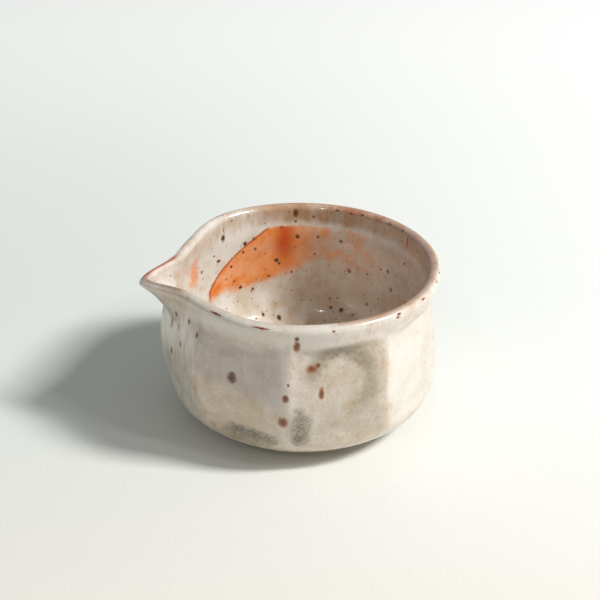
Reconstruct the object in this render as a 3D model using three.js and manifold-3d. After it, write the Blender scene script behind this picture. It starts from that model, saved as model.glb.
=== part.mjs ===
// A small stoneware tea pitcher: a thrown bowl with nine shaved flats, a pinched pouring spout and a turned foot.
// Millimetres, +Z up. The spout points along -X and the foot stands on Z = 0.

import * as THREE from "three";
import * as BufferGeometryUtils from "three/addons/utils/BufferGeometryUtils.js";
import Module from "manifold-3d";

// Rim
const rimOuterRadius = 49.0;
const lipRadius = 2.2; // half the thickness of the rounded lip
const rimCentreHeight = 56.0;

// Foot and underside
const footOuterRadius = 29.5;
const footInnerRadius = 23.5;
const footHeight = 3.4;
const undersideRecess = 1.6; // how far the middle of the underside is turned in above the foot
const footEdge = 0.8; // bevel on the edges that meet the table

// Shaved flats
const flatCount = 9;
const firstRidgeAngle = 12; // degrees from +X, counter-clockwise
const flatDepthShare = 0.05; // depth of a flat at its middle, as a share of the wall's radius
const flatTop = 50.4; // the shaving stops under the rim in a short ledge
const flatLedge = 2.2;
const flatBottom = 8.5; // and fades out on the lower belly
const flatFade = 9.0;

// Pouring spout
const spoutReach = 11.8; // how far the lip runs out past the pinched rim
const spoutHalfAngle = 11; // degrees, where the spout has fallen to a third of its reach
const spoutShape = 1.7; // higher is blunter
const spoutDip = 0.8; // the pouring edge lies this much under the rim
const spoutRoot = 42.5; // height where the underside of the spout leaves the wall
const channelRoot = 45.5; // height where the channel leaves the inner wall
const undersideCurve = 1.1; // 1 is straight, higher is more hollow
const channelCurve = 1.1;
const pinchDepths = [1.4, 3.4]; // the rim is drawn in on either side of the spout, more on the +Y side
const pinchBlend = 20; // degrees from the spout
const pinchFrom = 34;
const pinchTo = 66;

// The seam where the spout is luted into a notch in the wall
const seamHalfAngle = 25; // degrees
const seamHeight = 41.5;
const seamGap = 0.3; // slip joint

// The thrown body stands a little nearer to the spout than the rim does
const bodyLean = 1.4;
const leanHeights = [10, 30, 42, 54]; // none at the foot, all of it at the belly, none at the rim

// Stations round the axis, in degrees
const coarseStep = 4;
const fineStep = 2;
const fineHalfAngle = 24;

// Outline of the outer wall along a ridge, from the foot to the neck: [radius, height]
const outerWall = [
  [footOuterRadius, footHeight],
  [37.0, 3.7],
  [42.2, 5.0],
  [46.0, 7.8],
  [48.5, 12.0],
  [49.7, 17.0],
  [50.3, 23.0],
  [50.2, 30.0],
  [49.5, 37.0],
  [48.7, 42.5],
  [48.1, 46.5],
  [47.8, 49.4],
  [47.9, 51.6],
  [48.4, 53.8],
];

// Outline of the inner wall, from the lip down to the floor of the bowl
const innerWall = [
  [44.5, 53.4],
  [44.0, 50.4],
  [43.5, 47.2],
  [43.4, 43.0],
  [43.6, 37.0],
  [43.5, 30.0],
  [43.3, 24.0],
  [42.4, 18.5],
  [39.9, 13.8],
  [35.4, 10.8],
  [27.0, 9.2],
  [14.0, 8.6],
];
const floorHeight = 8.5;
const lipSteps = 6;

const radians = THREE.MathUtils.degToRad;
const smoothstep = THREE.MathUtils.smoothstep;
const clamp = THREE.MathUtils.clamp;

// The whole section as one closed run of points: underside, outer wall, lip, inner wall, floor.
function sectionPoints() {
  const points = [
    { radius: 0, height: footHeight + undersideRecess, side: "under" },
    { radius: footInnerRadius - 1, height: footHeight + undersideRecess, side: "under" },
    { radius: footInnerRadius, height: footHeight, side: "under" },
  ];
  for (const [radius, height] of outerWall) points.push({ radius, height, side: "outer" });
  const lipCentre = rimOuterRadius - lipRadius;
  for (let step = 0; step <= lipSteps; step += 1) {
    const turn = (Math.PI * step) / lipSteps;
    points.push({
      radius: lipCentre + lipRadius * Math.cos(turn),
      height: rimCentreHeight + lipRadius * Math.sin(turn),
      side: "lip",
    });
  }
  for (const [radius, height] of innerWall) points.push({ radius, height, side: "inner" });
  points.push({ radius: 0, height: floorHeight, side: "inner" });
  return points;
}

// Angles of the sections round the axis, closer together at the spout.
function stationAngles() {
  const angles = [];
  for (let angle = -180; angle < 180; angle += fineStep) {
    const isFine = 180 - Math.abs(angle) <= fineHalfAngle;
    if (isFine || angle % coarseStep === 0) angles.push(angle);
  }
  return angles;
}

// How far the wall is shaved in at an angle and a height.
function flatCut(angle, radius, height) {
  const pitch = 360 / flatCount;
  const turn = (((angle - firstRidgeAngle) % pitch) + pitch) % pitch;
  const fromMiddle = radians(turn - pitch / 2);
  const flat = (radius * (1 - flatDepthShare)) / Math.cos(fromMiddle);
  const above = 1 - smoothstep(height, flatTop - flatLedge, flatTop);
  const below = smoothstep(height, flatBottom, flatBottom + flatFade);
  return Math.max(0, radius - flat) * above * below;
}

// How far the rim is moved outwards at an angle: drawn in beside the spout, run out at it.
function rimShift(angle) {
  const fromSpout = 180 - Math.abs(angle);
  const side = smoothstep(Math.sign(angle) * fromSpout, -pinchBlend, pinchBlend);
  const depth = THREE.MathUtils.lerp(pinchDepths[0], pinchDepths[1], side);
  const pinch = depth * (1 - smoothstep(fromSpout, pinchFrom, pinchTo));
  return spoutReach * spoutProfile(fromSpout) - pinch;
}

function spoutProfile(fromSpout) {
  return Math.exp(-Math.pow(fromSpout / spoutHalfAngle, spoutShape));
}

// The share of the rim's shift that reaches a point of the wall.
function shiftShare(point) {
  if (point.side === "lip") return 1;
  if (point.side === "outer") {
    return Math.pow(clamp((point.height - spoutRoot) / (rimCentreHeight - spoutRoot), 0, 1), undersideCurve);
  }
  if (point.side === "inner") {
    return Math.pow(clamp((point.height - channelRoot) / (rimCentreHeight - channelRoot), 0, 1), channelCurve);
  }
  return 0;
}

function wallPoint(angle, point) {
  const fromSpout = 180 - Math.abs(angle);
  const share = shiftShare(point);
  const cut = point.side === "outer" ? flatCut(angle, point.radius, point.height) : 0;
  const radius = point.radius - cut + share * rimShift(angle);
  const [foot, low, high, rim] = leanHeights;
  const lean = smoothstep(point.height, foot, low) * (1 - smoothstep(point.height, high, rim));
  return new THREE.Vector3(
    radius * Math.cos(radians(angle)) - bodyLean * lean,
    radius * Math.sin(radians(angle)),
    point.height - spoutDip * share * spoutProfile(fromSpout),
  );
}

// Loft of the section through every station, closed on the axis at the underside and at the floor.
function loftedVessel() {
  const section = sectionPoints();
  const angles = stationAngles();
  const rings = section.slice(1, -1);
  const positions = [];
  for (const point of rings) {
    for (const angle of angles) positions.push(...wallPoint(angle, point).toArray());
  }
  const underPole = positions.length / 3;
  positions.push(0, 0, section[0].height);
  const floorPole = underPole + 1;
  positions.push(0, 0, section.at(-1).height);

  const count = angles.length;
  const indices = [];
  for (let k = 0; k < count; k += 1) {
    const next = (k + 1) % count;
    indices.push(underPole, next, k);
    for (let ring = 0; ring + 1 < rings.length; ring += 1) {
      const low = ring * count;
      const high = low + count;
      indices.push(low + k, low + next, high + next);
      indices.push(low + k, high + next, high + k);
    }
    const last = (rings.length - 1) * count;
    indices.push(floorPole, last + k, last + next);
  }
  const geometry = new THREE.BufferGeometry();
  geometry.setAttribute("position", new THREE.Float32BufferAttribute(positions, 3));
  geometry.setIndex(indices);
  return geometry;
}

// A wedge round the spout, seen from above a sector, that reaches from a height to over the rim.
function spoutSector(halfAngle, bottom, grow) {
  const near = 32;
  const far = 80;
  const slope = Math.tan(radians(halfAngle));
  const outline = new THREE.Shape();
  outline.moveTo(-near + grow, -near * slope - grow);
  outline.lineTo(-near + grow, near * slope + grow);
  outline.lineTo(-far, far * slope + grow);
  outline.lineTo(-far, -far * slope - grow);
  outline.closePath();
  const geometry = new THREE.ExtrudeGeometry(outline, { depth: 30, bevelEnabled: false });
  geometry.translate(0, 0, bottom - grow);
  return geometry;
}

// The turned foot: a ring with bevelled edges where it meets the table.
function footProfile() {
  return [
    [footInnerRadius, footHeight],
    [footInnerRadius, footEdge],
    [footInnerRadius + footEdge, 0],
    [footOuterRadius - footEdge, 0],
    [footOuterRadius, footEdge],
    [footOuterRadius - 0.4, footHeight],
    [footInnerRadius, footHeight],
  ].map(([radius, height]) => new THREE.Vector2(radius, height));
}

const wasm = await Module();
wasm.setup();

function toSolid(geometry) {
  const bare = geometry.clone();
  bare.deleteAttribute("normal");
  bare.deleteAttribute("uv");
  const merged = BufferGeometryUtils.mergeVertices(bare, 1e-5);
  return new wasm.Manifold(
    new wasm.Mesh({
      numProp: 3,
      vertProperties: new Float32Array(merged.attributes.position.array),
      triVerts: new Uint32Array(merged.index.array),
    }),
  );
}

function toGeometry(solid) {
  const mesh = solid.getMesh();
  const geometry = new THREE.BufferGeometry();
  geometry.setAttribute("position", new THREE.BufferAttribute(new Float32Array(mesh.vertProperties), 3));
  geometry.setIndex(new THREE.BufferAttribute(new Uint32Array(mesh.triVerts), 1));
  geometry.computeVertexNormals();
  return geometry;
}

const glaze = new THREE.MeshStandardMaterial({ color: 0xd9d2c9, roughness: 0.32, metalness: 0 });
const thinGlaze = new THREE.MeshStandardMaterial({ color: 0xcdb095, roughness: 0.34, metalness: 0 });
const bareClay = new THREE.MeshStandardMaterial({ color: 0xb4957a, roughness: 0.85, metalness: 0 });

function namedMesh(name, geometry, material) {
  const mesh = new THREE.Mesh(geometry, material);
  mesh.name = name;
  return mesh;
}

const vessel = toSolid(loftedVessel());
const notch = toSolid(spoutSector(seamHalfAngle, seamHeight, seamGap));
const sector = toSolid(spoutSector(seamHalfAngle, seamHeight, 0));

const footMesh = namedMesh("foot_ring", new THREE.LatheGeometry(footProfile(), 60), bareClay);
footMesh.rotation.x = Math.PI / 2;

const pitcher = new THREE.Group();
pitcher.add(
  namedMesh("bowl", toGeometry(vessel.subtract(notch)), glaze),
  namedMesh("pouring_spout", toGeometry(vessel.intersect(sector)), thinGlaze),
  footMesh,
);

// The origin lies under the middle of the whole pitcher, spout included.
const extent = new THREE.Box3().setFromObject(pitcher);
pitcher.position.x = -(extent.min.x + extent.max.x) / 2;
pitcher.position.y = -(extent.min.y + extent.max.y) / 2;

export default pitcher;
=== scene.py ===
import math
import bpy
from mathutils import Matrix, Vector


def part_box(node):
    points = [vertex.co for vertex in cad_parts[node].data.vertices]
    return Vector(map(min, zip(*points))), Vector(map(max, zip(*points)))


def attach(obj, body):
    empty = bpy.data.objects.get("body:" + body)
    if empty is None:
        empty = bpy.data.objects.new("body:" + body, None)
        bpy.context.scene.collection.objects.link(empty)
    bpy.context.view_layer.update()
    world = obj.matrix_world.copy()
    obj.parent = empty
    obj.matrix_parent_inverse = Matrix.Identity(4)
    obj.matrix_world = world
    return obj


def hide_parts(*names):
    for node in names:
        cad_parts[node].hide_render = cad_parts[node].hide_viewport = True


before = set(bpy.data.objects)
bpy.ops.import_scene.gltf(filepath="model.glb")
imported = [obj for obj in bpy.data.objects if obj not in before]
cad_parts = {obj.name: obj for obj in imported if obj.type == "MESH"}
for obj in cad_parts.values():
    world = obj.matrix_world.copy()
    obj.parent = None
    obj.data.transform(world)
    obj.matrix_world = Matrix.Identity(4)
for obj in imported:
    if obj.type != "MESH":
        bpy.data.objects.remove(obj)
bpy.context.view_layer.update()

from types import SimpleNamespace

import bpy
import numpy as np
from mathutils import Quaternion, Vector

mm = 0.001

# the rim's axis is over the foot's middle
footLow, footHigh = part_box("foot_ring")
axis = Vector(((footLow[0] + footHigh[0]) / 2, (footLow[1] + footHigh[1]) / 2, 0))


def smooth(value, low, high):
    t = np.clip((value - low) / (high - low), 0, 1)
    return t * t * (3 - 2 * t)


def linear(red, green, blue):
    # a colour as a screen shows it, turned into the one that a shader takes
    def one(v):
        v = v / 255
        return v / 12.92 if v <= 0.04045 else ((v + 0.055) / 1.055) ** 2.4
    return (one(red), one(green), one(blue), 1.0)


viewFrom = {
    "azimuth": -14, "elevation": 30.6, "distance": 455.4 * mm, "lens": 75, "roll": 0.71,
    "target": (0, 0, 30 * mm), "shift": (-0.0037, 0.0455), "nearest": 10 * mm,
}


def makeCamera():
    v = viewFrom
    a, e = math.radians(v["azimuth"]), math.radians(v["elevation"])
    back = Vector((math.sin(a) * math.cos(e), -math.cos(a) * math.cos(e), math.sin(e)))
    camera = bpy.data.objects.new("camera", bpy.data.cameras.new("camera"))
    bpy.context.collection.objects.link(camera)
    camera.data.lens = v["lens"]
    camera.data.shift_x, camera.data.shift_y = v["shift"]
    camera.data.clip_start = v["nearest"]
    camera.rotation_mode = "QUATERNION"
    camera.location = axis + Vector(v["target"]) + back * v["distance"]
    turn = Quaternion((0, 0, 1), math.radians(v["roll"]))
    camera.rotation_quaternion = (-back).to_track_quat("-Z", "Y") @ turn
    bpy.context.scene.camera = camera
    print("camera ready")


class Wire:
    # a shader socket that Python operators can work on

    def __init__(self, tree, socket):
        self.tree = tree
        self.socket = socket

    def node(self, kind, settings=None, output=0, **sockets):
        # sockets are given by name, or as n0, n1 and so on by their place
        made = self.tree.nodes.new("ShaderNode" + kind)
        for name, value in (settings or {}).items():
            setattr(made, name, value)
        for name, value in sockets.items():
            key = int(name[1:]) if name[0] == "n" and name[1:].isdigit() else name.replace("_", " ")
            target = made.inputs[key]
            if isinstance(value, Wire):
                self.tree.links.new(value.socket, target)
            else:
                target.default_value = value
        return Wire(self.tree, made.outputs[output])

    def maths(self, operation, first, second=0.0):
        return self.node("Math", {"operation": operation}, n0=first, n1=second)

    def __add__(self, other):
        return self.maths("ADD", self, other)

    def __radd__(self, other):
        return self.maths("ADD", other, self)

    def __sub__(self, other):
        return self.maths("SUBTRACT", self, other)

    def __rsub__(self, other):
        return self.maths("SUBTRACT", other, self)

    def __mul__(self, other):
        return self.maths("MULTIPLY", self, other)

    def __rmul__(self, other):
        return self.maths("MULTIPLY", other, self)

    def power(self, other):
        return self.maths("POWER", self, other)

    def biggest(self, other):
        return self.maths("MAXIMUM", self, other)

    def step(self, low, high):
        settings = {"interpolation_type": "SMOOTHSTEP"}
        return self.node("MapRange", settings, n0=self, n1=low, n2=high, n3=0.0, n4=1.0)

    def between(self, rise, fall):
        # full from the end of the rise to the start of the fall
        return self.step(*rise) * (1 - self.step(*fall))

    def uneven(self, base, gain):
        return base + self * gain

    def blend(self, other, share):
        settings = {"data_type": "RGBA"}
        return self.node("Mix", settings, output=2, n0=share, n6=self, n7=other)

    def vector(self, operation, other, output=0):
        return self.node("VectorMath", {"operation": operation}, output=output, n0=self, n1=other)

    def part(self, number):
        return self.node("SeparateXYZ", output=number, n0=self)

    def oval(self, centre, halfSize):
        # how far a place on the unrolled wall lies from an oval's middle: 1 is on its outline
        offset = self.vector("SUBTRACT", (*centre, 0))
        scaled = offset.vector("MULTIPLY", (1 / halfSize[0], 1 / halfSize[1], 0))
        return scaled.vector("LENGTH", (0, 0, 0), output=1)


def newMaterial(name):
    material = bpy.data.materials.new(name)
    material.use_nodes = True
    tree = material.node_tree
    tree.nodes.clear()
    shader = tree.nodes.new("ShaderNodeBsdfPrincipled")
    output = tree.nodes.new("ShaderNodeOutputMaterial")
    tree.links.new(shader.outputs[0], output.inputs[0])
    coordinates = tree.nodes.new("ShaderNodeTexCoord")
    return material, shader, Wire(tree, coordinates.outputs["Object"])


def plainColour(place, colour):
    made = place.node("RGB")
    made.socket.default_value = colour
    return made


def plug(shader, name, wire):
    wire.tree.links.new(wire.socket, shader.inputs[name])


def noise(place, scale, detail, roughness=0.55):
    return place.node("TexNoise", Vector=place, Scale=scale, Detail=detail, Roughness=roughness)


# the thrown wall, in millimetres and degrees; its outlines are [radius, height]
wallShape = {
    "rimRadius": 49.0, "lipRadius": 2.2, "rimHeight": 56.0, "lipSteps": 12,
    "footInner": 23.5, "footHeight": 3.4, "recess": 1.6, "recessEdge": 1.4, "underRings": (0, 8, 16),
    "outer": [(29.5, 3.4), (37.0, 3.7), (42.2, 5.0), (46.0, 7.8), (48.5, 12.0), (49.7, 17.0),
              (50.3, 23.0), (50.2, 30.0), (49.5, 37.0), (48.7, 42.5), (48.1, 46.5), (47.8, 49.4),
              (47.9, 51.6), (48.4, 53.8)],
    "inner": [(44.5, 53.4), (44.0, 50.4), (43.5, 47.2), (43.4, 43.0), (43.6, 37.0), (43.5, 30.0),
              (43.3, 24.0), (42.4, 18.5), (39.9, 13.8), (35.4, 10.8), (27.0, 9.2), (14.0, 8.6), (0.0, 8.5)],
    "spacing": 1.3, "turns": 252, "shrink": 0.9994,
    "flats": 9, "firstRidge": 12, "flatDepth": 0.05, "ridgeSoft": 0.35, "ridgeKeep": 0.3,
    "flatTop": 50.4, "ledge": 2.2, "flatBottom": 8.5, "flatFade": 9.0,
    "softWidth": 48, "softDrop": 7, "softRise": 2,  # the ledge fades out round the spout
    "reach": 11.8, "spoutAngle": 11.0, "spoutPower": 1.7, "dip": 0.8,
    "undersideRoot": 42.5, "channelRoot": 45.5, "rootCurve": 1.1,
    "pinch": (1.4, 3.4), "pinchBlend": 20, "pinchFrom": 34, "pinchTo": 66,
    "lean": 1.4, "leanHeights": (10, 30, 42, 54),
}

# unevenness left by the hands; each wave is its share, count round the wall, phase and climb with height
handMarks = {
    "depth": 0.35, "fromRadius": (20, 40), "waves": [(0.25, 3, 0.7, 0.05), (0.25, 5, 2.1, -0.09)],
    "rimDip": 0.45, "rimFrom": (40, 57), "rimWaves": [(0.3, 2, 0.9, 0), (0.2, 5, 0.4, 0)],
}

# where the glaze runs thin, where the ledge under the lip is tinted, and where the spout's colours begin
thinGlaze = {
    "ridgeWidth": 2.6, "ridgeFrom": (14, 24), "ridgeTo": (48, 51),
    "ledgeHeight": 50.6, "ledgeWidth": 1.1, "ledgeShare": 0.6, "lipWidth": 0.3, "spoutFrom": (44, 55),
}


def throughPoints(points, spacing):
    # a smooth run through the control points, at about even steps
    ends = [points[0]] + list(points) + [points[-1]]
    run = []
    for k in range(1, len(ends) - 2):
        a, b, c, d = (np.array(ends[k + i], float) for i in (-1, 0, 1, 2))
        steps = max(1, round(float(np.linalg.norm(c - b)) / spacing))
        for step in range(steps):
            t = step / steps
            run.append(0.5 * (2 * b + (c - a) * t + (2 * a - 5 * b + 4 * c - d) * t ** 2
                              + (3 * b - a - 3 * c + d) * t ** 3))
    run.append(np.array(points[-1], float))
    return run


def wallSection(s):
    # rows of radius, height and side, which goes from 0 outside over the lip to 1 inside
    under = s["footHeight"] + s["recess"]
    rows = [(radius, under, 0) for radius in s["underRings"]]
    rows += [(s["footInner"] - s["recessEdge"], under, 0), (s["footInner"], s["footHeight"], 0)]
    rows += [(r, h, 0) for r, h in throughPoints(s["outer"], s["spacing"])]
    middle = s["rimRadius"] - s["lipRadius"]
    for step in range(s["lipSteps"] + 1):
        side = step / s["lipSteps"]
        turn = math.pi * side
        out, up = s["lipRadius"] * math.cos(turn), s["lipRadius"] * math.sin(turn)
        rows.append((middle + out, s["rimHeight"] + up, side))
    rows += [(r, h, 1) for r, h in throughPoints(s["inner"], s["spacing"])]
    return rows


def spinSection(name, rows, turns):
    # one point is drawn out along the section, and the section is spun round the axis
    weld = 0.01 * mm
    bpy.ops.object.select_all(action="DESELECT")
    bpy.ops.mesh.primitive_plane_add(size=mm, location=(0, 0, 0))
    piece = bpy.context.object
    piece.name = piece.data.name = name
    bpy.ops.object.mode_set(mode="EDIT")
    bpy.ops.mesh.select_mode(type="VERT")
    bpy.ops.mesh.select_all(action="SELECT")
    bpy.ops.mesh.merge(type="CENTER")
    here = Vector((rows[0][0] * mm, 0, rows[0][1] * mm))
    bpy.ops.transform.translate(value=here)
    for row in rows[1:]:
        there = Vector((row[0] * mm, 0, row[1] * mm))
        bpy.ops.mesh.extrude_region_move(TRANSFORM_OT_translate={"value": there - here})
        here = there
    bpy.ops.mesh.select_all(action="SELECT")
    bpy.ops.mesh.spin(steps=turns, angle=math.tau, center=(0, 0, 0), axis=(0, 0, 1))
    bpy.ops.mesh.select_all(action="SELECT")
    bpy.ops.mesh.remove_doubles(threshold=weld)
    bpy.ops.mesh.normals_make_consistent(inside=False)
    bpy.ops.object.mode_set(mode="OBJECT")
    bpy.ops.object.shade_smooth()
    return piece


def readPoints(piece):
    flat = np.empty(len(piece.data.vertices) * 3)
    piece.data.vertices.foreach_get("co", flat)
    return flat.reshape(-1, 3)


def writePoints(piece, points):
    piece.data.vertices.foreach_set("co", points.reshape(-1))
    piece.data.update()


def keepValue(piece, name, values):
    kept = piece.data.attributes.new(name, "FLOAT", "POINT")
    kept.data.foreach_set("value", values.astype(np.float32))


def placeInFlat(s, angle):
    # degrees from the middle of the flat, and how wide a flat is
    pitch = 360 / s["flats"]
    return np.mod(angle - s["firstRidge"], pitch) - pitch / 2, pitch


def flatCut(s, radius, height, angle, side):
    # the flats, with soft ridges between them and a short ledge above
    fromMiddle, pitch = placeInFlat(s, angle)
    flat = radius * (1 - s["flatDepth"]) / np.cos(np.radians(fromMiddle))
    over = radius - flat
    cut = 0.5 * (over + np.sqrt(over ** 2 + s["ridgeSoft"] ** 2)) - s["ridgeKeep"] * s["ridgeSoft"]
    nearSpout = np.exp(-((180 - np.abs(angle)) / s["softWidth"]) ** 2)
    ledgeFoot = s["flatTop"] - s["ledge"] - s["softDrop"] * nearSpout
    ledgeTop = s["flatTop"] + s["softRise"] * nearSpout
    shaved = 1 - smooth(height, ledgeFoot, ledgeTop)
    shaved = shaved * smooth(height, s["flatBottom"], s["flatBottom"] + s["flatFade"]) * (side == 0)
    return np.maximum(cut, 0) * shaved


def rimShift(s, angle, spout):
    # the spout runs out, and the rim is drawn in beside it, more at the back
    fromSpout = 180 - np.abs(angle)
    near, far = s["pinch"]
    depth = near + (far - near) * smooth(np.sign(angle) * fromSpout, -s["pinchBlend"], s["pinchBlend"])
    return s["reach"] * spout - depth * (1 - smooth(fromSpout, s["pinchFrom"], s["pinchTo"]))


def shiftShare(s, height, side):
    # the share of the rim's shift that reaches a point: all of it on the lip, none below the root
    root = np.where(side == 0, s["undersideRoot"], s["channelRoot"])
    share = np.clip((height - root) / (s["rimHeight"] - root), 0, 1) ** s["rootCurve"]
    return np.where((side > 0) & (side < 1), 1, share)


def handWave(waves, turn, height):
    # between 0 and 1
    return 0.5 + sum(share * np.sin(count * turn + phase + height * climb)
                     for share, count, phase, climb in waves)


def makeWall():
    s, hand, thin = wallShape, handMarks, thinGlaze
    rows = wallSection(s)
    wall = spinSection("pitcherWall", rows, s["turns"])
    points = readPoints(wall) / mm
    radius, height = np.hypot(points[:, 0], points[:, 1]), points[:, 2]
    angle = np.degrees(np.arctan2(points[:, 1], points[:, 0]))
    table = np.array(rows)
    gap = np.hypot(radius[:, None] - table[None, :, 0], height[:, None] - table[None, :, 1])
    side = table[np.argmin(gap, axis=1), 2]

    spout = np.exp(-((180 - np.abs(angle)) / s["spoutAngle"]) ** s["spoutPower"])
    share = shiftShare(s, height, side)
    newRadius = radius - flatCut(s, radius, height, angle, side) + share * rimShift(s, angle, spout)

    # the unevenness goes inwards and downwards only
    turn = np.radians(angle)
    sway = handWave(hand["waves"], turn, height)
    newRadius = newRadius - hand["depth"] * sway * smooth(radius, *hand["fromRadius"])
    dips = handWave(hand["rimWaves"], turn, height)
    rimDrop = hand["rimDip"] * dips * smooth(height, *hand["rimFrom"])

    foot, low, high, rim = s["leanHeights"]
    lean = s["lean"] * smooth(height, foot, low) * (1 - smooth(height, high, rim))
    points[:, 0] = (newRadius * np.cos(turn) - lean) * s["shrink"]
    points[:, 1] = newRadius * np.sin(turn) * s["shrink"]
    points[:, 2] = height - s["dip"] * share * spout - rimDrop
    writePoints(wall, points * mm + np.array(axis))

    # the glaze runs thin on the ridges and the lip, and the ledge under the lip is tinted the same way
    fromMiddle, pitch = placeInFlat(s, angle)
    ridge = np.exp(-((pitch / 2 - np.abs(fromMiddle)) / thin["ridgeWidth"]) ** 2)
    ridge = ridge * smooth(height, *thin["ridgeFrom"]) * (1 - smooth(height, *thin["ridgeTo"]))
    ridge = ridge * (side == 0)
    ledge = np.exp(-((height - thin["ledgeHeight"]) / thin["ledgeWidth"]) ** 2)
    ledge = ledge * (side == 0) * thin["ledgeShare"]
    lip = np.exp(-((side - 0.5) / thin["lipWidth"]) ** 2)
    keepValue(wall, "inside", side)
    keepValue(wall, "thin", np.maximum(np.maximum(ridge, ledge), lip))
    keepValue(wall, "spout", spout * smooth(height, *thin["spoutFrom"]))
    wall.data.materials.append(glazeMaterial())
    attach(wall, "root")
    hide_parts("bowl", "pouring_spout")
    print("wall ready", len(wall.data.polygons), "faces")


glaze = {
    "cool": linear(228, 221, 211), "warm": linear(200, 180, 150), "grey": linear(182, 166, 142),
    "lavender": linear(184, 172, 164), "tan": linear(176, 128, 84), "darkGrey": linear(78, 70, 58),
    "white": linear(224, 219, 207), "craze": linear(138, 114, 84), "shadedTan": linear(172, 128, 86),
    "orange": linear(240, 142, 62), "deepOrange": linear(206, 74, 20), "edgeOrange": linear(176, 66, 20),
    "drab": linear(132, 120, 92),
    "roughness": 0.17, "mottledRoughness": 0.16, "smokedRoughness": 0.2,
    "coat": 0.5, "coatRoughness": 0.05, "specular": 0.5,
    "swell": {"cloud": 3.0, "mottle": 0.9, "grain": 0.12, "fine": 0.03}, "crackDepth": 0.03,
    "bump": 0.35, "bumpDistance": 0.35 * mm,
}

# the wall is unrolled for the marks: millimetres for a degree outside and inside, and over the lip;
# the edges of marks wander by the wobble
unroll = {"outerDegree": 0.855, "innerDegree": 0.76, "lip": 4.0, "turnsIn": (0.35, 0.65), "wobble": 1.5}

# noises in the round: cells to a millimetre, detail, roughness
roundNoises = {
    "cloud": (0.045, 4, 0.55), "mottle": (0.16, 5, 0.62), "grain": (0.75, 4, 0.65), "fine": (2.6, 3, 0.6),
    "drift": (0.11, 4, 0.55),
}

# noises drawn out on the unrolled wall: its side, cells to a millimetre across and up, detail, roughness
drawnNoises = {
    "streak": ("flatOut", (0.5, 0.09, 1), 4, 0.6), "innerStreak": ("flatIn", (0.6, 0.12, 1), 4, 0.65),
    "brush": ("flatOut", (3.4, 1.1, 1), 3, 0.7),
}


def readSurface(place):
    # what the glaze's colours are worked out from, in millimetres and degrees
    u = unroll
    s = SimpleNamespace(place=place)
    for name in ("inside", "thin", "spout"):
        setattr(s, name, place.node("Attribute", {"attribute_name": name}, output=2))
    s.fromAxis = place.vector("SUBTRACT", tuple(axis)).vector("MULTIPLY", (1 / mm, 1 / mm, 1 / mm))
    x, s.y, s.z = (s.fromAxis.part(k) for k in range(3))
    s.outerTurn = x.maths("ARCTAN2", x, 0 - s.y) * math.degrees(1)
    s.innerTurn = x.maths("ARCTAN2", x, s.y) * math.degrees(1)
    overLip = s.inside * u["lip"]
    s.flatOut = x.node("CombineXYZ", n0=s.outerTurn * u["outerDegree"], n1=s.z + overLip, n2=0.0)
    s.flatIn = x.node("CombineXYZ", n0=s.innerTurn * u["innerDegree"], n1=s.z + u["lip"] - overLip, n2=0.0)
    for name, (scale, detail, roughness) in roundNoises.items():
        setattr(s, name, noise(s.fromAxis, scale, detail, roughness))
    for name, (side, scales, detail, roughness) in drawnNoises.items():
        setattr(s, name, noise(getattr(s, side).vector("MULTIPLY", scales), 1.0, detail, roughness))
    s.ragged = s.grain - 0.5
    s.wobble = s.ragged * u["wobble"]
    s.isInside = s.inside.step(*u["turnsIn"])
    s.isOutside = 1 - s.isInside
    return s


def weigh(s, mix):
    # noises added up by their shares
    total = None
    for name, share in mix.items():
        part = getattr(s, name) * share
        total = part if total is None else total + part
    return total


ground = {
    "warmMix": {"cloud": 0.5, "mottle": 0.6}, "warm": (0.46, 0.72), "warmShare": 0.8,
    "tanMix": {"mottle": 0.6, "grain": 0.5}, "tan": (0.58, 0.76), "tanShare": 0.3,
    "dryMix": {"streak": 0.6, "fine": 0.4}, "dry": (0.46, 0.66), "dryShare": 0.5,
}


def groundColour(s):
    # cool where the glaze lies thick, warm where it thins
    k = ground
    colour = plainColour(s.place, glaze["cool"])
    colour = colour.blend(glaze["warm"], weigh(s, k["warmMix"]).step(*k["warm"]) * k["warmShare"])
    colour = colour.blend(glaze["tan"], weigh(s, k["tanMix"]).step(*k["tan"]) * s.isOutside * k["tanShare"])
    return colour.blend(glaze["warm"], weigh(s, k["dryMix"]).step(*k["dry"]) * s.isOutside * k["dryShare"])


# each flat's turn from rise to fall, in degrees from the front, and its tints as base and gain
flatTints = {
    "bottom": (9, 14), "top": (47.5, 51.5),
    "left": ((-64, -55), (-24, -17)), "middle": ((-19, -14), (18, 25)), "right": (22, 30),
    "far": ((-110, -96), (-64, -54)),
    "borderHeight": 31.6, "borderTurn": 46, "borderSlope": 0.21, "borderEdge": (-3.0, 2.4),
    "borderWobble": 1.6, "borderDrift": 9,
    "lavender": (0.25, 0.6), "warm": (0.1, 0.7), "grey": (0.15, 0.6), "white": (0.85, -0.5),
    "dryMix": {"brush": 0.6, "grain": 0.4}, "dry": (0.48, 0.7), "dryShare": 0.28,
    "farStreak": (0.38, 0.7), "farShare": 0.45,
    "rimFrom": (49, 52), "rimReflectionTurn": ((-75, -50), (-24, 12)), "rimReflectionShare": 0.7,
}


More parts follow.
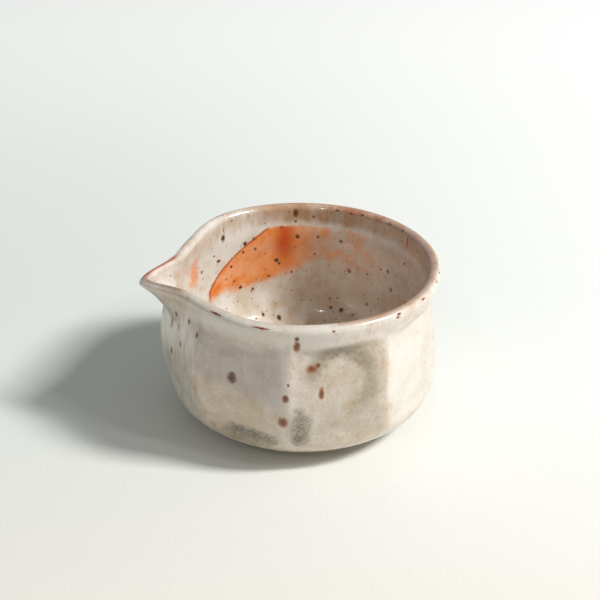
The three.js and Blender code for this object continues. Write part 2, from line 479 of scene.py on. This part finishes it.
def tintFlats(colour, s):
    k = flatTints
    facing = s.isOutside * s.z.step(*k["bottom"]) * (1 - (s.z + s.wobble).step(*k["top"]))
    leftFlat = s.outerTurn.between(*k["left"]) * facing
    border = s.z - (k["borderHeight"] - (s.outerTurn + k["borderTurn"]) * k["borderSlope"])
    border = border + s.wobble * k["borderWobble"] + (s.mottle - 0.5) * k["borderDrift"]
    border = border.step(*k["borderEdge"])
    colour = colour.blend(glaze["lavender"], leftFlat * border * s.mottle.uneven(*k["lavender"]))
    colour = colour.blend(glaze["warm"], leftFlat * (1 - border) * s.mottle.uneven(*k["warm"]))
    s.middleFlat = s.outerTurn.between(*k["middle"]) * facing
    colour = colour.blend(glaze["grey"], s.middleFlat * s.mottle.uneven(*k["grey"]))
    dry = weigh(s, k["dryMix"]).step(*k["dry"])
    colour = colour.blend(glaze["drab"], s.middleFlat * dry * k["dryShare"])
    rightFlat = s.outerTurn.step(*k["right"]) * facing
    colour = colour.blend(glaze["white"], rightFlat * s.mottle.uneven(*k["white"]))
    farFlat = s.outerTurn.between(*k["far"]) * facing
    colour = colour.blend(glaze["grey"], farFlat * s.streak.step(*k["farStreak"]) * k["farShare"])
    # painted reflection of the sky: the front of the rim is whiter to the left of the middle
    paintedRimReflection = s.isOutside * s.z.step(*k["rimFrom"]) * s.outerTurn.between(*k["rimReflectionTurn"])
    return colour.blend(glaze["white"], paintedRimReflection * k["rimReflectionShare"])


darkArc = {
    "centre": (1.7, 35.5), "halfSize": (10.4, 11.6), "wobble": 0.12, "band": ((0.62, 0.98), (1.02, 1.5)),
    "topFrom": (34, 42), "rightFrom": (4, 12), "rightRise": (16, 30), "rightShare": 0.85,
    "drab": (0.45, 0.4), "dryMix": {"brush": 0.5, "grain": 0.5}, "dry": (0.5, 0.66),
    "darkGreyFrom": (32, 40), "darkGreyShare": 0.55,
}


def burnArc(colour, s):
    # a dark arc on the middle flat, broadest on its right
    k = darkArc
    ringPlace = s.flatOut.oval(k["centre"], k["halfSize"]) + s.wobble * k["wobble"]
    right = s.outerTurn.step(*k["rightFrom"]) * s.z.step(*k["rightRise"]) * k["rightShare"]
    arc = ringPlace.between(*k["band"]) * s.z.step(*k["topFrom"]).biggest(right) * s.middleFlat
    colour = colour.blend(glaze["drab"], arc * s.grain.uneven(*k["drab"]))
    dry = weigh(s, k["dryMix"]).step(*k["dry"])
    return colour.blend(glaze["darkGrey"], arc * dry * s.z.step(*k["darkGreyFrom"]) * k["darkGreyShare"])


lowWallPatches = {
    "patches": [((-31.0, 11.5), (15.0, 5.5), 1.0), ((-12.5, 18.5), (4.0, 8.5), 0.85)],
    "drift": 2, "edge": (0.3, 1.2),
    "dryMix": {"brush": 0.45, "grain": 0.35, "fine": 0.2}, "dry": (0.40, 0.58),
    "drabShare": 0.6, "darkGreyShare": 0.9, "bandFrom": (7, 16), "band": (0.1, 0.8),
}


def smokeLowWall(colour, s):
    # dark grey-brown patches low on the front left of the wall, rougher than the glaze round them, and a
    # warmer band along the bottom
    k = lowWallPatches
    dry = weigh(s, k["dryMix"]).step(*k["dry"])
    s.smoke = None
    for centre, halfSize, strength in k["patches"]:
        distance = s.flatOut.oval(centre, halfSize) + (s.mottle - 0.5) * k["drift"]
        patch = (1 - distance.step(*k["edge"])) * strength
        s.smoke = patch if s.smoke is None else s.smoke.biggest(patch)
    colour = colour.blend(glaze["drab"], s.smoke * s.isOutside * k["drabShare"])
    colour = colour.blend(glaze["darkGrey"], s.smoke * dry * s.isOutside * k["darkGreyShare"])
    lowBand = (1 - s.z.step(*k["bandFrom"])) * s.isOutside * s.mottle.uneven(*k["band"])
    return colour.blend(glaze["warm"], lowBand)


thinEdges = {
    "mottle": (0.25, 1.1), "ragged": 0.5, "edge": (0.32, 0.95), "share": 0.3, "grain": (0.3, 0.9),
    "backTurn": (-25, 5), "backSide": (0.25, 0.5), "backFrom": (50, 53), "back": 0.2,
    "backMix": {"mottle": 0.7, "grain": 0.25},
    "bandFrom": (49.5, 51.5), "bandSide": (0.6, 0.9), "bandMix": {"innerStreak": 0.7, "mottle": 0.3},
    "bandEdge": (0.36, 0.7), "bandTurn": (-40, 20), "band": (0.3, 0.4),
    "innerSide": ((0.42, 0.6), (0.85, 1.0)), "innerTurn": (5, 40),
    "innerMix": {"mottle": 0.6, "grain": 0.5}, "innerEdge": (0.4, 0.7), "innerShare": 0.6,
}


def tintEdges(colour, s):
    # tan where the glaze runs thin on the ridges and the lip, most of all round the back of the rim; the
    # ledge under the lip and a band inside below the lip are tinted tan too
    k = thinEdges
    thinMask = (s.thin * s.mottle.uneven(*k["mottle"]) + s.ragged * k["ragged"]).step(*k["edge"])
    colour = colour.blend(glaze["tan"], thinMask * k["share"] * s.grain.uneven(*k["grain"]))
    backRim = s.innerTurn.step(*k["backTurn"]) * s.inside.step(*k["backSide"]) * s.z.step(*k["backFrom"])
    colour = colour.blend(glaze["tan"], backRim * (k["back"] + weigh(s, k["backMix"])))
    band = s.z.step(*k["bandFrom"]) * s.inside.step(*k["bandSide"])
    band = band * weigh(s, k["bandMix"]).step(*k["bandEdge"])
    colour = colour.blend(glaze["tan"], band * s.innerTurn.step(*k["bandTurn"]).uneven(*k["band"]))
    innerEdge = s.inside.between(*k["innerSide"]) * s.innerTurn.step(*k["innerTurn"])
    innerEdge = innerEdge * weigh(s, k["innerMix"]).step(*k["innerEdge"])
    return colour.blend(glaze["edgeOrange"], innerEdge * k["innerShare"])


blushMarks = {
    "drift": 12, "ragged": 2.0,
    "edgeFrom": 29, "edgeOver": 20, "edgeBend": 1.35, "edgeTurn": 34, "edgeStart": -41, "edge": (0.0, 1.4),
    "top": (49.0, 50.6), "bottom": 25.5, "bottomTurn": 14, "bottomSlope": 0.24, "bottomDrift": 0.55,
    "bottomEdge": (-2.0, 3.4), "fullDrift": 0.8, "fullTo": (8, 26),
    "restTo": (35, 75), "restFrom": (31, 40), "restDrift": 0.6, "restShare": 0.9,
    "restMix": {"mottle": 0.75, "grain": 0.3}, "restEdge": (0.36, 0.7),
    "shadedTanFrom": (-20, 20), "shadedTanTop": (47, 50), "shadedTan": (0.05, 0.75),
    "orange": 0.4, "orangeMix": {"mottle": 0.75, "grain": 0.15},
    "heart": (3.2, 45.0), "heartSize": (5.0, 15.0), "heartDrift": 0.9, "heartEdge": (0.1, 1.25),
    "heartShare": 0.9, "veins": (0.5, 0.7), "veinShare": 0.35,
    "line": ((-0.4, 0.6), (1.2, 3.6)), "lineShare": 0.85,
    "shadeFrom": (45, 75), "shade": (0.3, 0.4),
    "side": (-39.5, 41.5), "sideSize": (4.2, 7.5), "sideRagged": 2.6, "sideEdge": (0.4, 1.1),
    "sideShare": 0.75,
}


def blushInside(colour, s):
    # an orange blush with one hard edge, a deep streak in its middle and a spotty rest to the right, laid
    # over painted shade on the right of the inner wall
    k = blushMarks
    warp = (s.drift - 0.5) * k["drift"] + s.ragged * k["ragged"]
    rise = ((s.z - k["edgeFrom"]) * (1 / k["edgeOver"])).biggest(0.0).power(k["edgeBend"])
    fromEdge = s.innerTurn - (rise * k["edgeTurn"] + k["edgeStart"]) + s.ragged * k["ragged"]
    low = s.z - k["bottom"] - (s.innerTurn + k["bottomTurn"]).biggest(0.0) * k["bottomSlope"]
    lowEdge = (low + warp * k["bottomDrift"]).step(*k["bottomEdge"])
    upper = (1 - (s.z + s.ragged * k["ragged"]).step(*k["top"])) * s.isInside * fromEdge.step(*k["edge"])
    full = 1 - (s.innerTurn + warp * k["fullDrift"]).step(*k["fullTo"])
    blush = upper * lowEdge * full
    rest = upper * (1 - (s.innerTurn + warp).step(*k["restTo"])) * (1 - full)
    rest = rest * (s.z + warp * k["restDrift"]).step(*k["restFrom"])

    # painted shade, partly the tan of the glaze: the right half of the inner wall below the rim is darkened
    # tan-brown
    shadedTan = s.isInside * s.innerTurn.step(*k["shadedTanFrom"]) * (1 - s.z.step(*k["shadedTanTop"]))
    colour = colour.blend(glaze["shadedTan"], shadedTan * s.mottle.uneven(*k["shadedTan"]))
    colour = colour.blend(glaze["orange"], blush * (k["orange"] + weigh(s, k["orangeMix"])))
    restSpots = weigh(s, k["restMix"]).step(*k["restEdge"])
    colour = colour.blend(glaze["orange"], rest * restSpots * k["restShare"])
    heart = s.flatIn.oval(k["heart"], k["heartSize"]) + (s.mottle - 0.5) * k["heartDrift"]
    veins = s.mottle.step(*k["veins"]) * k["veinShare"] * blush
    deep = ((1 - heart.step(*k["heartEdge"])) * k["heartShare"]).biggest(veins)
    colour = colour.blend(glaze["deepOrange"], upper * deep)
    colour = colour.blend(glaze["edgeOrange"], fromEdge.between(*k["line"]) * blush * k["lineShare"])

    # painted shade, partly the glaze's own grey: the right inner wall, which faces away from the window, is
    # tinted lavender-grey
    shade = s.innerTurn.step(*k["shadeFrom"]) * s.isInside * s.mottle.uneven(*k["shade"])
    colour = colour.blend(glaze["lavender"], shade)
    sidePlace = s.flatIn.oval(k["side"], k["sideSize"]) + s.ragged * k["sideRagged"]
    sideBlush = (1 - sidePlace.step(*k["sideEdge"])) * s.isInside
    return colour.blend(glaze["orange"], sideBlush * k["sideShare"])


lipLines = {
    "side": ((0.22, 0.4), (0.5, 0.72)), "spout": (0.02, 0.25), "backFrom": (-2, 3),
    "back": (0.45, 0.8), "front": (0.2, 0.9), "frontShare": 0.9,
}


def lineSpoutLip(colour, s):
    # a thin orange-brown line on the back edge of the spout, and a dark one on its front lip
    k = lipLines
    line = s.inside.between(*k["side"]) * s.spout.step(*k["spout"])
    back = s.y.step(*k["backFrom"])
    colour = colour.blend(glaze["edgeOrange"], line * back * s.mottle.uneven(*k["back"]))
    front = line * (1 - back) * s.grain.uneven(*k["front"]) * k["frontShare"]
    return colour.blend(spotTones["dark"][0], front)


crackleMarks = {"cells": 0.62, "width": (0.0, 0.06), "mottle": (0.2, 0.6), "share": (0.22, 0.3)}


def crackleGlaze(colour, s):
    k = crackleMarks
    settings = {"feature": "DISTANCE_TO_EDGE"}
    cells = s.fromAxis.node("TexVoronoi", settings, Vector=s.fromAxis, Scale=k["cells"])
    s.crackle = (1 - cells.step(*k["width"])) * s.mottle.uneven(*k["mottle"])
    return colour.blend(glaze["craze"], s.crackle * s.middleFlat.uneven(*k["share"]))


# specks come in two sizes: cells to a millimetre, size in a cell, rarity and share
speckMarks = {
    "sizes": [(0.24, 0.2, 0.5, 0.95), (0.5, 0.22, 0.62, 0.8)], "ragged": 0.14, "core": 0.5,
    "rareEdge": 0.04, "outside": 0.15, "inside": (0.35, 0.5), "fewerFrom": (-45, -10),
}


def scatterSpecks(colour, s):
    k = speckMarks
    for scale, size, rarity, share in k["sizes"]:
        cells = s.fromAxis.node("TexVoronoi", Vector=s.fromAxis, Scale=scale)
        tint = s.fromAxis.node("TexVoronoi", output=1, Vector=s.fromAxis, Scale=scale)
        chance = tint.node("SeparateColor", n0=tint)
        specks = 1 - (cells + s.ragged * k["ragged"]).step(size * k["core"], size)
        specks = specks * chance.step(rarity, rarity + k["rareEdge"])
        within = s.isInside * s.innerTurn.step(*k["fewerFrom"]).uneven(*k["inside"])
        colour = colour.blend(spotTones["brown"][0], specks * (k["outside"] + within) * share)
    return colour


# iron spots: the colour of the stain round a spot, and of its middle
spotTones = {
    "dark": (linear(112, 66, 38), linear(38, 20, 14)), "red": (linear(132, 50, 26), linear(84, 24, 14)),
    "brown": (linear(138, 82, 32), linear(72, 38, 14)), "orange": (linear(154, 84, 24), linear(92, 46, 12)),
    "black": (linear(70, 46, 34), linear(24, 19, 16)),
}

# how a spot's stain and middle fade out from its centre, and their shares
spotShape = {
    "wobble": 0.9, "stain": (0.7, 1.5), "stainShare": 0.9, "middle": (0.1, 0.95), "middleShare": 0.85,
}

# iron spots: degrees round the wall, height, half width, half height, tone
outerSpots = [
    (-95, 41, 0.7, 1.2, "red"), (-85, 41, 0.9, 2.4, "red"), (-78, 47, 0.6, 1.0, "red"),
    (-78, 42, 0.6, 1.1, "red"), (-68, 48, 0.8, 1.0, "red"), (-61, 46, 0.7, 1.0, "brown"),
    (-74, 37, 0.9, 1.1, "red"), (-83, 30.5, 0.8, 1.2, "red"), (-43, 35, 1.5, 2.0, "dark"),
    (-16, 54, 0.7, 1.0, "dark"), (-16, 51, 1.1, 2.0, "orange"), (-10, 42, 1.8, 1.3, "orange"),
    (-7.5, 43, 0.8, 0.8, "brown"), (-6, 32.5, 0.9, 2.0, "orange"), (-20, 32, 1.0, 1.3, "brown"),
    (-21, 22.5, 1.5, 1.9, "orange"), (-19, 37, 0.4, 0.6, "orange"), (-51, 57.8, 2.2, 0.5, "orange"),
    (-30, 57.7, 2.6, 0.5, "orange"), (-2, 57.1, 0.5, 0.5, "orange"), (43, 58, 1.0, 0.5, "orange"),
    (27, 58, 0.8, 0.5, "brown"), (26, 56.6, 0.7, 0.6, "dark"), (59, 58, 0.6, 0.5, "brown"),
    (67, 58, 0.7, 0.5, "dark"), (80, 57.6, 0.6, 0.5, "dark"),
]

innerSpots = [
    (10, 55, 0.9, 1.9, "brown"), (19, 53.5, 0.5, 0.6, "orange"), (31, 57.5, 0.8, 0.5, "dark"),
    (38, 57, 0.6, 0.5, "dark"), (44, 57.7, 0.6, 0.5, "dark"), (60, 57.8, 0.8, 0.5, "brown"),
    (69, 57.8, 0.6, 0.5, "dark"), (-30, 50, 0.9, 1.3, "dark"), (-29, 53, 0.2, 1.6, "brown"),
    (-33, 41, 0.9, 0.7, "red"), (-36, 44, 0.4, 0.4, "red"), (-66, 53, 0.3, 1.5, "red"),
    (-17, 45, 0.8, 0.9, "dark"), (-18, 41.5, 0.5, 0.6, "red"), (-25, 36.5, 0.5, 0.5, "red"),
    (11, 45.5, 0.8, 0.8, "dark"), (0, 35.5, 0.8, 0.8, "dark"), (1.5, 34, 0.5, 0.5, "dark"),
    (34, 45, 0.7, 0.7, "dark"), (39, 33, 0.8, 1.0, "brown"), (50, 34, 0.5, 0.6, "brown"),
    (64, 39, 0.8, 0.9, "dark"), (67, 32, 0.7, 0.9, "dark"), (36, 15.7, 1.0, 0.8, "black"),
    (30, 16, 0.7, 0.6, "dark"), (-20, 26.5, 0.7, 0.7, "red"), (-13, 24.5, 0.6, 0.7, "red"),
    (-9, 14, 0.6, 0.6, "dark"), (0, 12.5, 0.9, 0.7, "dark"), (74, 54.5, 0.25, 2.4, "red"),
    (-4, 29, 0.5, 0.5, "brown"), (8, 30, 0.5, 0.5, "brown"), (20, 38, 0.5, 0.5, "brown"),
    (-45, 40, 0.5, 0.7, "orange"),
]


def addSpots(colour, s, place, spots, degreeLength, allowed):
    # each spot is an uneven oval on the unrolled wall
    k = spotShape
    wobble = s.wobble * k["wobble"]
    for degrees, height, halfWidth, halfHeight, tone in spots:
        distance = place.oval((degrees * degreeLength, height), (halfWidth, halfHeight)) + wobble
        stain, middle = spotTones[tone]
        colour = colour.blend(stain, (1 - distance.step(*k["stain"])) * allowed * k["stainShare"])
        colour = colour.blend(middle, (1 - distance.step(*k["middle"])) * allowed * k["middleShare"])
    return colour


def glazeMaterial():
    material, shader, place = newMaterial("ironSpottedGlaze")
    s = readSurface(place)
    colour = groundColour(s)
    for layer in (tintFlats, burnArc, smokeLowWall, tintEdges, blushInside, lineSpoutLip, crackleGlaze,
                  scatterSpecks):
        colour = layer(colour, s)
    colour = addSpots(colour, s, s.flatOut, outerSpots, unroll["outerDegree"], s.isOutside.biggest(s.thin))
    colour = addSpots(colour, s, s.flatIn, innerSpots, unroll["innerDegree"], s.isInside.biggest(s.thin))
    plug(shader, "Base Color", colour)
    rough = glaze["roughness"] + (s.mottle - 0.5) * glaze["mottledRoughness"]
    plug(shader, "Roughness", rough + s.smoke * glaze["smokedRoughness"] * s.isOutside)
    shader.inputs["Coat Weight"].default_value = glaze["coat"]
    shader.inputs["Coat Roughness"].default_value = glaze["coatRoughness"]
    shader.inputs["Specular IOR Level"].default_value = glaze["specular"]
    swell = weigh(s, glaze["swell"]) - s.crackle * glaze["crackDepth"]
    bump = place.node("Bump", Strength=glaze["bump"], Distance=glaze["bumpDistance"], Height=swell)
    plug(shader, "Normal", bump)
    return material


clay = {
    "light": linear(186, 152, 120), "dark": linear(128, 92, 66), "roughness": 0.86, "unevenness": 0.1,
    "patches": 90, "grains": 1400, "grainDetail": (4, 0.7), "patchShare": 0.6, "grainShare": 0.5,
    "darkFrom": (0.4, 0.75), "bump": 0.5, "bumpDistance": 0.2 * mm,
}


def clayMaterial():
    material, shader, place = newMaterial("bareClay")
    big = noise(place, clay["patches"], 4)
    small = noise(place, clay["grains"], *clay["grainDetail"])
    dark = (big * clay["patchShare"] + small * clay["grainShare"]).step(*clay["darkFrom"])
    plug(shader, "Base Color", plainColour(place, clay["light"]).blend(clay["dark"], dark))
    plug(shader, "Roughness", clay["roughness"] + (small - 0.5) * clay["unevenness"])
    bump = place.node("Bump", Strength=clay["bump"], Distance=clay["bumpDistance"], Height=small)
    plug(shader, "Normal", bump)
    return material


# the turned ring: its bevels are rounded by a point at a share of the bevel
foot = {
    "outer": 29.5, "inner": 23.5, "height": 3.4, "bevel": 0.8, "rounding": 0.3, "taper": 0.4, "slack": 0.1,
    "wallRing": 1, "faceRing": 3, "topRing": 2, "turns": 180, "shrink": 0.9994,
}


def makeFoot():
    outer, inner, height, bevel = foot["outer"], foot["inner"], foot["height"], foot["bevel"]
    rounding = bevel * foot["rounding"]
    wallRing, topRing = bevel + foot["wallRing"], foot["topRing"]
    rows = [(inner, height), (inner, wallRing), (inner, bevel), (inner + rounding, rounding),
            (inner + bevel, 0), (inner + foot["faceRing"], 0), (outer - bevel, 0),
            (outer - rounding, rounding), (outer, bevel), (outer - foot["slack"], wallRing),
            (outer - foot["taper"], height), (outer - topRing, height), (inner + topRing, height),
            (inner, height)]
    ring = spinSection("turnedFoot", rows, foot["turns"])
    points = readPoints(ring)
    points[:, :2] *= foot["shrink"]
    writePoints(ring, points + np.array(axis))
    ring.data.materials.append(clayMaterial())
    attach(ring, "root")
    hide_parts("foot_ring")
    print("foot ready")


cloth = {
    "size": 6.0, "left": linear(222, 226, 221), "right": linear(240, 241, 237),
    "front": linear(236, 227, 216), "far": linear(250, 251, 249), "foldShade": linear(206, 196, 180),
    "acrossAngle": 14, "rightFrom": (-0.08, 0.2), "drift": 0.06, "driftNoise": (6, 2),
    "frontTo": (-0.2, 0.02), "frontShare": 0.8, "farFrom": (0.05, 0.5), "farShare": 0.9,
    "fold": -0.165, "foldEdge": (0.0004, 0.003), "foldShare": 0.35,
    "weave": (900, 2, 0.7), "roughness": 0.95, "specular": 0.1, "bump": 0.25, "bumpDistance": 0.3 * mm,
}


def makeCloth():
    bpy.ops.object.select_all(action="DESELECT")
    bpy.ops.mesh.primitive_plane_add(size=cloth["size"], location=(0, 0, 0))
    floor = bpy.context.object
    floor.name = "clothFloor"
    material, shader, place = newMaterial("paleCloth")
    x, y = place.part(0), place.part(1)
    turn = math.radians(cloth["acrossAngle"])
    across = x * math.cos(turn) - y * math.sin(turn)
    away = x * math.sin(turn) + y * math.cos(turn)
    drifted = across + noise(place, *cloth["driftNoise"]) * cloth["drift"]
    # painted light: the cloth is darker on the left and lighter on the right, where the window is, and
    # lighter again far off
    colour = plainColour(place, cloth["left"]).blend(cloth["right"], drifted.step(*cloth["rightFrom"]))
    colour = colour.blend(cloth["front"], (1 - away.step(*cloth["frontTo"])) * cloth["frontShare"])
    colour = colour.blend(cloth["far"], away.step(*cloth["farFrom"]) * cloth["farShare"])
    # painted shade along a fold in the cloth
    fromFold = away - cloth["fold"]
    fold = 1 - fromFold.maths("ABSOLUTE", fromFold).step(*cloth["foldEdge"])
    colour = colour.blend(cloth["foldShade"], fold * cloth["foldShare"])
    plug(shader, "Base Color", colour)
    shader.inputs["Roughness"].default_value = cloth["roughness"]
    shader.inputs["Specular IOR Level"].default_value = cloth["specular"]
    weave = noise(place, *cloth["weave"])
    bump = place.node("Bump", Strength=cloth["bump"], Distance=cloth["bumpDistance"], Height=weave)
    plug(shader, "Normal", bump)
    floor.data.materials.append(material)
    print("cloth ready")


# the window on the right, and two small panes that give little more than glints; lengths in metres
lamps = {
    "window": {"travel": (-128, 56, -147), "distance": 3.0, "size": (0.42, 0.75), "watts": 88},
    "farPane": {"travel": (120, 170, -190), "distance": 1.6, "size": (0.08, 0.1), "watts": 0.9},
    "nearPane": {"travel": (-112, 100, -150), "distance": 1.6, "size": (0.14, 0.16), "watts": 2.4},
}
sky = {"colour": linear(238, 240, 240), "strength": 0.33}


def makeLamp(name, lamp):
    direction = Vector(lamp["travel"]).normalized()
    made = bpy.data.objects.new(name, bpy.data.lights.new(name, "AREA"))
    bpy.context.collection.objects.link(made)
    made.data.shape = "RECTANGLE"
    made.data.size, made.data.size_y = lamp["size"]
    made.data.energy = lamp["watts"]
    made.location = axis + Vector(viewFrom["target"]) - direction * lamp["distance"]
    made.rotation_mode = "QUATERNION"
    made.rotation_quaternion = direction.to_track_quat("-Z", "Y")


def makeLights():
    for name, lamp in lamps.items():
        makeLamp(name, lamp)
    world = bpy.data.worlds.new("softRoom")
    bpy.context.scene.world = world
    world.use_nodes = True
    background = world.node_tree.nodes["Background"]
    background.inputs[0].default_value = sky["colour"]
    background.inputs[1].default_value = sky["strength"]
    print("lights ready")


makeCamera()
makeWall()
makeFoot()
makeCloth()
makeLights()
bpy.context.scene.view_settings.view_transform = "Standard"
